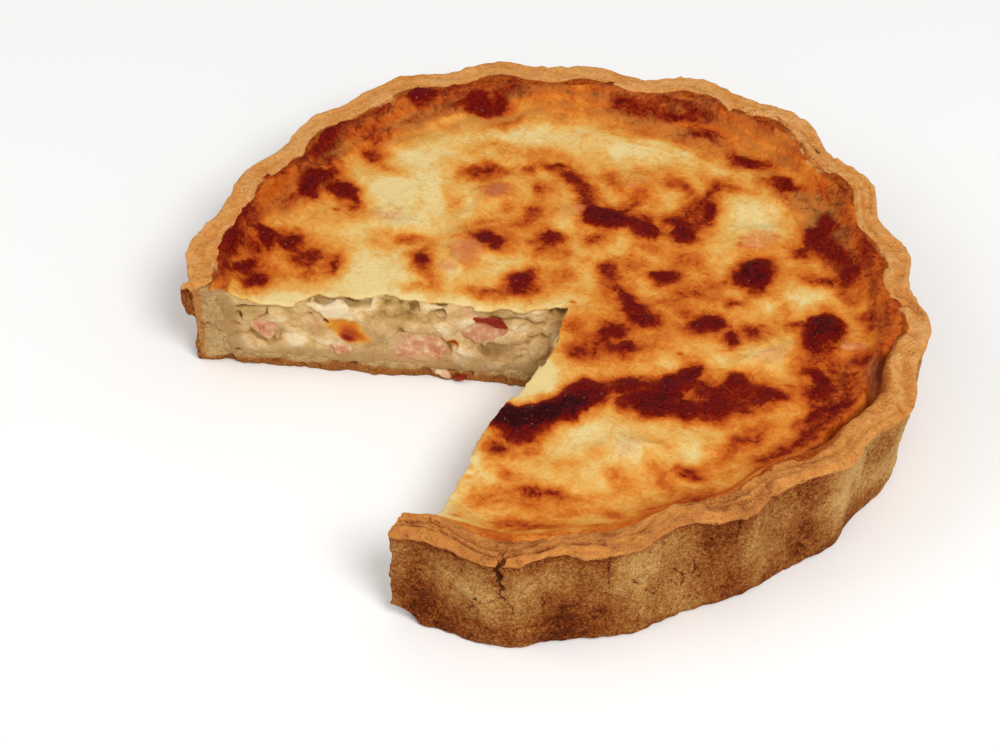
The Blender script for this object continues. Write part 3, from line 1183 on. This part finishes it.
def topMaterial():
    paint = Paint("bakedCustardTop")
    fine, speck = paint.grain(0.9, 4.0, 0.75), paint.grain(1.9, 4.0, 0.7, warp=0.8)
    wisp, broad = paint.grain(4.5, 5.0, 0.62, warp=1.6), paint.grain(11.0, 2.0, 0.5)
    scorch, warm = paint.tone("scorch"), paint.tone("warm")
    bake = scorch * 0.84 + warm * 0.34 * (1 - scorch)
    lively = scorch * 0.4 + 0.45
    creases = paint.grain(6.0, 3.0, 0.6, warp=1.0) - 0.5
    crease = (1 - (creases * creases).between(0.0, 0.0022)) * (wisp - 0.2)
    mottle = (fine - 0.5) * 0.28 + (speck - 0.5) * 0.36 + (wisp - 0.5) * 0.52
    bake = bake + crease * 0.1 + mottle * lively + (broad - 0.5) * 0.1
    stops = (
        (0.0, "#ebd08e"), (0.07, "#e9c074"), (0.13, "#e7b05c"), (0.2, "#e5a149"), (0.27, "#df8c35"),
        (0.35, "#d37626"), (0.42, "#c6611b"), (0.49, "#b54c12"), (0.56, "#a0340c"), (0.64, "#8e1e0a"),
        (0.72, "#80140b"), (0.82, "#690c0b"), (0.92, "#50090b"), (1.0, "#360709"),
    )
    colour = paint.ramp(bake, stops)
    pink = paint.tone("pink") * (1 - scorch.between(0.45, 0.7)) * (speck.between(0.35, 0.6) * 0.45 + 0.38)
    colour = paint.mixed(pink, colour, "#c9794e")
    khaki = paint.tone("khaki") * (1 - scorch.between(0.4, 0.66)) * (0.5 + speck * 0.5)
    colour = paint.mixed(khaki, colour, "#b98a42")
    glints = (1 - paint.cells(2.0).between(0.1, 0.22)) * bake.between(0.6, 0.8) * wisp.between(0.45, 0.6)
    colour = paint.mixed(glints * 0.45, colour, "#c8807a")
    torn = paint.ramp(speck, ((0.3, "#b98c50"), (0.6, "#ddb67a")))
    colour = paint.mixed(paint.tone("inside"), colour, torn)
    burnt = bake.between(0.5, 0.8)
    roughness = 0.5 - burnt * 0.2 + (speck - 0.5) * 0.2
    normal = paint.bumped(fine * 0.6 + speck * 0.8 + wisp * 0.5 + crease * 0.3, 0.7, 0.8)
    normal = paint.bumped(paint.cells(1.3) * burnt, 0.9, 0.9, normal)  # small bubbles where it is burnt
    return paint.finish(Base_Color=colour, Roughness=roughness, Normal=normal, Specular_IOR_Level=0.05)


# torn custard behind each cut

farFace = {
    "name": "custard_far", "ham": "far", "skin": "farSkin",
    "low": (-107, -32, 4.2), "high": (9, 14, 36.5), "step": 0.36, "seed": 61,
    # lumps: along the cut, height, radius, how far proud, how pale
    "lumps": (
        (-81, 23.5, 3.0, 0.4, 0.7), (-75, 14, 4.2, 0.2, 0.9), (-62, 25.5, 5.0, 0.9, 1.0),
        (-57, 22.5, 3.0, 0.5, 0.8), (-53, 29, 4.0, 0.8, 1.0), (-46, 24, 4.5, 0.0, 0.6),
        (-35, 27, 4.0, 0.3, 0.7), (-40, 20.5, 2.4, 0.5, 0.9), (-31.5, 20.5, 3.0, 0.7, 0.9),
        (-25.5, 11, 3.2, 1.3, 1.0), (-24.5, 6.8, 2.6, 1.2, 1.0), (-23, 22.5, 2.6, 0.6, 1.0),
        (-17, 6.6, 2.2, 1.0, 0.9), (-13.5, 7.2, 1.8, 0.9, 0.9), (-9, 25.5, 3.0, 0.3, 0.7),
        (-4, 14, 4.0, 0.1, 0.8), (-97, 11, 6.0, 0.1, 0.5), (-67, 12, 3.0, 0.2, 0.9),
        (-20, 27, 3.0, 0.2, 0.8), (-63, 14.5, 4.6, 0.3, 0.7),
    ),
    # hollows: along the cut, height, half length, half height, depth
    "hollows": (
        (-92, 21.5, 1.0, 2.6, 2.6), (-93.5, 18.4, 1.8, 1.0, 1.6), (-88, 26.6, 7.0, 1.0, 2.0),
        (-76, 18.4, 1.5, 1.0, 2.0), (-71, 23.2, 1.2, 1.6, 2.4), (-63.5, 30.8, 1.5, 1.4, 5.5),
        (-57, 26.8, 1.8, 0.7, 2.4), (-49, 30.6, 2.6, 1.1, 5.0), (-39.2, 26.8, 1.8, 1.2, 3.0),
        (-31, 24.4, 1.6, 0.6, 1.8), (3.4, 27, 3.0, 2.0, 4.0), (-13, 12, 7.5, 4.0, 1.5),
        (-94, 7, 1.4, 0.7, 1.2), (-33, 16, 1.2, 0.6, 1.2), (-11, 4.6, 6.0, 1.0, 1.8),
        (-66, 20.5, 1.4, 0.8, 1.4), (-45, 28, 1.4, 0.7, 1.6), (-52.5, 25.6, 1.4, 0.6, 1.4),
    ),
    # places that stayed whole: along the cut, height, reach along and up
    "calm": ((-96, 12, 5, 10), (-13, 12, 7, 4), (-49, 13, 6, 4)),
    # browned custard: along the cut, height, half length, half height, turn, how dark
    "browned": (
        (-59.5, 18.2, 8.6, 5.0, -30, 0.42), (-58.5, 17.0, 7.0, 3.8, -30, 0.64),
        (-59.5, 15.4, 4.6, 2.2, -28, 0.86), (-27.5, 14.4, 2.4, 1.4, -15, 0.75),
    ),
}
nearFace = {
    "name": "custard_near", "ham": "near", "skin": "nearSkin",
    "low": (-17, -107, 4.2), "high": (13, 4, 36.5), "step": 0.36, "seed": 67,
    "lumps": (
        (-96, 22, 3.0, 0.6, 0.8), (-80, 12, 4.5, 0.4, 0.9), (-76, 25, 3.2, 0.6, 1.0),
        (-62, 10, 3.0, 0.7, 1.0), (-60, 24, 4.0, 0.6, 0.7), (-45, 22, 3.0, 0.4, 0.9),
        (-42, 12, 3.4, 0.8, 1.0), (-28, 10, 3.0, 0.5, 0.8), (-25, 27, 4.0, 0.8, 0.9),
        (-12, 26, 3.4, 0.8, 0.8), (-102, 12, 3.5, 0.2, 0.5), (-8, 9, 3.0, 0.4, 0.9),
    ),
    "hollows": (
        (-90, 26, 3.0, 1.2, 2.6), (-82, 20, 1.8, 1.2, 2.2), (-71, 16, 1.6, 0.9, 1.8),
        (-64, 17.5, 2.0, 1.0, 2.4), (-50, 27, 3.0, 1.0, 2.6), (-44, 17, 1.6, 0.9, 2.0),
        (-30, 22, 2.6, 1.0, 2.6), (-15, 20, 2.0, 0.9, 2.2),
    ),
    "calm": ((-100, 12, 5, 10), (-52, 13, 6, 4), (-18, 11, 7, 4)),
    "browned": ((-58, 19, 3.2, 2.4, 20, 0.7), (-20, 20, 2.6, 1.8, -30, 0.6)),
}


def faceDepth(face, space):  # along the cut, and how far behind it
    if face is farFace:
        return space.x, behindFar(space)
    return space.y, behindNear(space, nearFillingCut)


def facePlace(face, along, z, depth):
    cut = farCut if face is farFace else nearFillingCut
    rows = {key: np.array(cut[key], float).T for key in ("board", "top")}
    share = z / pie["level"]
    across = np.interp(along, *rows["board"]) * (1 - share) + np.interp(along, *rows["top"]) * share + depth
    return (along, across, z) if face is farFace else (across, along, z)


def tornAmount(face, space, along):  # the lower part was cut smooth, and the upper part came apart in curds
    torn = smoothStep(6.5, 11.5, space.z + 1.2 * space.soft(9, face["seed"]))
    for place, z, long, tall in face["calm"]:
        torn = torn * (1 - 0.8 * np.exp(-(((along - place) / long) ** 2) - ((space.z - z) / tall) ** 2))
    return torn


def curds(face, space):  # 0 in the creases between curds, rising inside each of them
    seed = face["seed"]
    large = np.abs(space.soft(4.8, seed + 1) + 0.4 * space.soft(2.2, seed + 2))
    return large, np.abs(space.soft(2.4, seed + 3) + 0.3 * space.soft(1.2, seed + 4))


def bareHam(face, space, along, sunk):  # each chunk of ham shows where the custard over it broke away
    for number, (long, _, tall, roll, _, _) in enumerate(ham[face["ham"]], 1):
        low, high = (np.array(corner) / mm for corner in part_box(f"ham_{face['ham']}_{number}"))
        middle = (low + high) / 2 - (*pie["middle"], 0)
        spot = (middle[0] if face is farFace else middle[1], middle[2], 0.45 * long, 0.48 * tall, roll)
        share, _ = oval(along, space.z, spot)
        sunk = sunk + 1.5 * np.exp(-(share**4)) - 0.3 * np.exp(-(share**6)) * sunk
    return sunk


def addLumps(face, space, shape, rough):
    for place, z, radius, proud, _ in face["lumps"]:
        x, y, height = facePlace(face, place, z, radius - proud)
        picks, wx, wy, wz = window(space, (x, y, height), radius + 3)
        lump = np.sqrt((wx - x) ** 2 + (wy - y) ** 2 + ((wz - height) / 0.85) ** 2) - radius
        shape[picks] = roundMin(shape[picks], lump + rough[picks], 1.6)


def cutHollows(face, space, shape, rough):
    for place, z, long, tall, deep in face["hollows"]:
        x, y, z = facePlace(face, place, z, 0.0)
        sizes = np.array((long, deep, tall) if face is farFace else (deep, long, tall))
        picks, wx, wy, wz = window(space, (x, y, z), sizes + 3)
        spans = zip((wx - x, wy - y, wz - z), sizes)
        inside = 1 - np.sqrt(sum((span / size) ** 2 for span, size in spans))
        shape[picks] = roundMax(shape[picks], inside * min(long, tall) + rough[picks], 0.5)


def custardShape(face, space, topOf):
    along, depth = faceDepth(face, space)
    seed = face["seed"]
    torn = tornAmount(face, space, along)
    curd, small = curds(face, space)
    fine = space.soft(1.2, seed + 4)
    opened = np.clip(0.55 + 0.8 * space.soft(8, seed + 9), 0.1, 1.4)
    crease = opened * (1.5 * np.exp(-((curd / 0.2) ** 2)) + 0.6 * np.exp(-((small / 0.2) ** 2)))
    uneven = 0.7 * space.soft(7, seed + 5) + 0.5 * space.soft(3.2, seed + 6)
    sunk = bareHam(face, space, along, torn * (crease - 0.8 * np.minimum(curd, 1.0) + uneven))
    shape = sunk + (0.14 + 0.12 * torn) * fine + 0.16 * space.soft(2.2, seed + 8) - depth
    addLumps(face, space, shape, crease - 0.6 * curd + 0.3 * fine)
    cutHollows(face, space, shape, 0.5 * fine - 0.7 * small)
    # the knife flattened what stood proud
    knife = depth + 1.5 + 0.5 * space.soft(8, seed + 10) + 0.5 * space.soft(2.4, seed + 3)
    shape = roundMax(shape, -knife, 1.6)
    # it lies snug under the browned top, and is torn open where the top has gone
    bare = smoothStep(-0.4, 0.8, skinStart(face["skin"], along))
    broken = 0.5 + 1.2 * space.soft(3.2, seed + 6) + 0.8 * space.soft(2.2, seed + 8) + 0.5 * fine
    lid = space.z - topOf + 0.9 * (1 - bare) + bare * (0.4 + crease + np.maximum(broken, 0))
    shape = roundMax(shape, lid, 0.9 + bare)
    shape = np.maximum(shape, depth - filling["slab"])
    seam = space.soft(3.2, seed + 11)
    shape = np.maximum(shape, sideways(space) - 2.2 + 1.3 * seam)
    return np.maximum(shape, pie["base"] - 1.6 - space.z + 0.9 * seam)


def custardTones(face, points):
    space = Places(points)
    along, depth = faceDepth(face, space)
    seed = face["seed"]
    curd, small = curds(face, space)
    pale = 0.34 + 0.3 * curd + 0.12 * small
    pale = pale + 0.2 * space.soft(6, seed + 7) + 0.16 * space.soft(2.2, seed + 8)
    for place, z, radius, _, paleness in face["lumps"]:
        share = np.hypot(along - place, space.z - z) / radius
        pale += 0.8 * (paleness - 0.45) * np.exp(-(share**4))
    pale -= 0.35 * smoothStep(0.6, 2.6, depth) * (1 - smoothStep(27, 29, space.z))
    pale += 0.08 * smoothStep(27.5, 29.5, space.z) * smoothStep(0.0, 1.0, skinStart(face["skin"], along))
    browned = np.zeros_like(pale)
    for spot in face["browned"]:
        share, short = oval(along + 0.9 * space.soft(2.2, 9), space.z + 0.6 * space.soft(2.2, 10), spot)
        inside = 1 - smoothStep(-0.8 * short, 0.3 * short, (share - 1) * short)
        browned = np.maximum(browned, spot[5] * inside)
    rosy = smoothStep(0.5, 1.1, space.soft(5.5, seed + 12) + 0.4 * space.soft(2.2, seed + 8))
    low = 1 - tornAmount(face, space, along)
    deep = smoothStep(0.8, 3.0, depth) * (space.z < 28)
    under = np.maximum(1 - smoothStep(3.5, 8, space.z), smoothStep(-8, -1.5, sideways(space)))
    return {"pale": pale, "deep": deep, "browned": browned, "low": low, "rosy": rosy, "under": under}


def buildCustard(face, material):
    block = Block(face["low"], face["high"], face["step"] * (1.0))
    topOf = charts["height"].at(block.x[..., 0], block.y[..., 0])[..., None].astype(np.float32)
    points, triangles, quads = meshPoints(custardShape(face, block, topOf), block, 0.01)
    tones = custardTones(face, points)
    addPiece(face["name"], points, triangles, quads, ["filling"], material, tones)


def custardMaterial():
    paint = Paint("tornCustard")
    fine, speck, broad = paint.grain(0.8, 4.0, 0.7), paint.grain(1.9, 4.0, 0.65), paint.grain(5.0, 3.0, 0.6)
    grainy = (speck - 0.5) * 0.8 + (fine - 0.5) * 0.6
    pale = paint.tone("pale") + grainy
    stops = (
        (0.0, "#9a7439"), (0.2, "#b68f50"), (0.42, "#cba266"), (0.66, "#dcb67c"), (0.85, "#e9c994"),
        (1.0, "#f0d9ae"),
    )
    colour = paint.ramp(pale, stops)
    stops = ((0.2, "#8f6d3a"), (0.42, "#a5804e"), (0.6, "#b8915e"), (0.8, "#cda67a"))
    smooth = paint.ramp(broad * 0.5 + 0.25 + grainy * 0.6, stops)
    colour = paint.mixed(paint.tone("low") * 0.8, colour, smooth)
    colour = paint.mixed((paint.tone("under") + (speck - 0.5)).between(0.2, 0.9) * 0.7, colour, "#a87e48")
    colour = paint.mixed(paint.tone("rosy") * 0.3, colour, "#cf8f6c")
    colour = paint.mixed(paint.tone("deep") * 0.6, colour, "#7f5f2a")
    spot = paint.tone("browned") + grainy * 0.35
    stops = (
        (0.12, "#dfae55"), (0.28, "#df9430"), (0.45, "#cf6c1a"), (0.64, "#b2440e"), (0.82, "#861d0a"),
        (1.0, "#640c08"),
    )
    colour = paint.mixed(spot.between(0.08, 0.3), colour, paint.ramp(spot, stops))
    normal = paint.bumped(fine * 0.7 + speck * 0.9, 0.8, 0.8)
    return paint.finish(
        Base_Color=colour, Roughness=0.5 + (speck - 0.5) * 0.25, Normal=normal, Subsurface_Weight=0.1,
        Subsurface_Radius=(1.0, 0.65, 0.35), Subsurface_Scale=0.002, Specular_IOR_Level=0.14,
    )


# ham

# a chunk's length is turned about Z, and then rolled about its depth
def hamChunk(name, size, turn, roll, taper, seed):
    low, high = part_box(name)
    middle = (np.array(low) + np.array(high)) / 2 / mm - (*pie["middle"], 0)
    cosT, sinT = cosSin(turn)
    cosR, sinR = cosSin(roll)
    length = np.array((cosT * cosR, sinT * cosR, sinR))
    deep = np.array((-sinT, cosT, 0))
    tall = np.cross(length, deep)
    half = np.array(size) / 2
    reach = np.linalg.norm(half) + 2
    block = Block(middle - reach, middle + reach, ham["step"])
    x, y, z = block.x - middle[0], block.y - middle[1], block.z - middle[2]
    big, mid, fine = block.soft(6, seed), block.soft(2.8, seed + 1), block.soft(1.3, seed + 2)
    parts = [x * axis[0] + y * axis[1] + z * axis[2] for axis in (length, deep, tall)]
    bend = [1.5 * big + 0.9 * mid, 0.5 * mid + 0.3 * fine, 1.2 * big - 0.8 * mid]
    gaps = [np.abs(part + shift) - far for part, shift, far in zip(parts, bend, half)]
    gaps[0] = gaps[0] - taper * half[0] * (parts[2] / half[2] - 1) * 0.5
    around = sum(np.maximum(gaps[k] / half[k] + 1, 0) ** 3 for k in (0, 2)) ** (1 / 3)
    shape = roundMax((around - 1) * min(half[0], half[2]), gaps[1], 1.2)
    sliced = 0.4 * block.soft(7, seed + 3) - 0.1 - behindCuts(block, nearFillingCut)
    shape = roundMax(shape, sliced, 0.5) + 0.2 * fine
    points, triangles, quads = meshPoints(shape, block, 0.01)
    local = (points - middle) @ np.stack([length, deep, tall]).T
    return points, triangles, quads, local, half


# how seared, baked over, glazed with custard, fatty and smeared with custard it is
plainHam = {"seared": 0.0, "bake": 0.0, "glazed": 0.0, "rind": 0.0, "smear": 0.0}


def buildHam(material):
    for group, turn in (("far", 191.5), ("near", 278.5)):  # the way along each cut
        for number, (length, deep, tall, roll, browned, taper) in enumerate(ham[group], 1):
            name = f"ham_{group}_{number}"
            chunk = hamChunk(name, (length, deep, tall), turn, roll, taper, 100 + 7 * number)
            points, triangles, quads, local, half = chunk
            space = Places(points)
            edge = smoothStep(0.3, 0.75, local[:, 2] / half[2] + 0.22 * space.soft(2.8, 77))
            rind = smoothStep(0.6, 1.0, local[:, 0] / half[0])
            along, _, upright = np.abs(local / half).T
            outer = np.maximum(along, upright) + 0.45 * space.soft(3.2, 79)
            smear = smoothStep(0.75, 1.15, outer + 0.25 * (number == 3)) * (1 - browned * edge)
            edge = edge * (1 - smoothStep(0.8, 1.1, along + 0.15 * space.soft(2.8, 80)))
            tones = plainHam | {"seared": browned * edge, "rind": rind, "smear": smear}
            addPiece("chunk_" + name, points, triangles, quads, [name], material, tones)
    for number, (length, width, turn) in enumerate(ham["top"], 1):
        name = f"ham_top_{number}"
        chunk = hamChunk(name, (length, width, ham["topTall"]), turn, 0, 0.0, 150 + 7 * number)
        points, triangles, quads, local, half = chunk
        space = Places(points)
        edge = np.abs(local / half)[:, :2].max(axis=1) + 0.35 * space.soft(2.8, 78)
        bake = charts["scorch"].at(space.x, space.y) * 0.84 + 0.3 * charts["warm"].at(space.x, space.y)
        tones = plainHam | {"seared": 0.45 * smoothStep(0.7, 1.05, edge), "bake": bake, "glazed": 1.0}
        addPiece("chunk_" + name, points, triangles, quads, [name], material, tones)


def hamMaterial():
    paint = Paint("bakedHam")
    fibre = paint.grain(1.3, 4.0, 0.7, stretch=(1.0, 1.0, 0.5))
    fine, broad = paint.grain(0.7, 3.0, 0.7), paint.grain(4.0, 2.0)
    tone = fibre * 0.8 + fine * 0.4 + broad * 1.1 - 0.65
    colour = paint.ramp(tone, ((0.12, "#aa5f3d"), (0.36, "#c6845d"), (0.56, "#d6a079"), (0.78, "#e9cba6")))
    colour = paint.mixed(paint.tone("rind") * 0.6, colour, "#e0c19c")
    smear = (paint.tone("smear") + (fibre - 0.5) * 1.2).between(0.25, 0.75)
    colour = paint.mixed(smear * 0.8, colour, paint.ramp(fine, ((0.3, "#b58e58"), (0.7, "#d2ad7a"))))
    seared = (paint.tone("seared") + (fibre - 0.5) * 0.8).between(0.3, 0.95)
    colour = paint.mixed(seared, colour, paint.ramp(fine, ((0.3, "#6d150d"), (0.7, "#a2351f"))))
    bake = paint.tone("bake") + (fibre - 0.5) * 0.5
    stops = ((0.05, "#e2ae5e"), (0.2, "#df9240"), (0.38, "#c8601b"), (0.6, "#93220a"), (0.8, "#5c0a08"))
    film = paint.ramp(bake, stops)
    colour = paint.mixed(paint.tone("glazed") * (fine * 0.5 + bake * 0.6 + 0.35).clamped(), colour, film)
    normal = paint.bumped(fibre * 0.7 + fine * 0.4, 0.5, 0.45)
    return paint.finish(
        Base_Color=colour, Roughness=0.5 - seared * 0.15, Normal=normal, Subsurface_Weight=0.1,
        Subsurface_Radius=(1.0, 0.4, 0.25), Subsurface_Scale=0.002, Specular_IOR_Level=0.14,
    )


# scraps pressed against the foot of the far cut: along the cut, height, long, tall

scraps = (
    (-30.6, 2.6, 1.8, 1.3), (-32.4, 3.2, 1.1, 0.9), (-29.2, 2.0, 1.0, 0.8), (-26.2, 1.5, 1.7, 1.0),
    (-24.4, 2.0, 1.0, 0.8),
)


def buildScraps(material):
    block = Block((-36, -16, -0.4), (-19, -4, 6), 0.3)
    shape = np.full(np.broadcast_shapes(block.x.shape, block.y.shape, block.z.shape), 9.0, np.float32)
    for place, z, long, tall in scraps:
        x, y, height = facePlace(farFace, place, z, 0.1)
        gap = ((block.x - x) / long) ** 2 + ((block.y - y) / 1.2) ** 2 + ((block.z - height) / tall) ** 2
        shape = roundMin(shape, (np.sqrt(gap) - 1) * tall, 0.4)
    shape = shape + 0.5 * block.soft(2.2, 91) + 0.25 * block.soft(1.1, 92)
    points, triangles, quads = meshPoints(np.maximum(shape, 0.1 - block.z), block, 0.01)
    dark = smoothStep(-28.6, -27.8, points[:, 0])
    tones = plainHam | {"seared": dark, "rind": 0.7 * (1 - dark)}
    addPiece("scraps", points, triangles, quads, [], material, tones)


buildCrust(crustMaterial())
buildFilling(topMaterial())
custard = custardMaterial()
buildCustard(farFace, custard)
buildCustard(nearFace, custard)
meat = hamMaterial()
buildHam(meat)
buildScraps(meat)

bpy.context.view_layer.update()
report("sizes written")
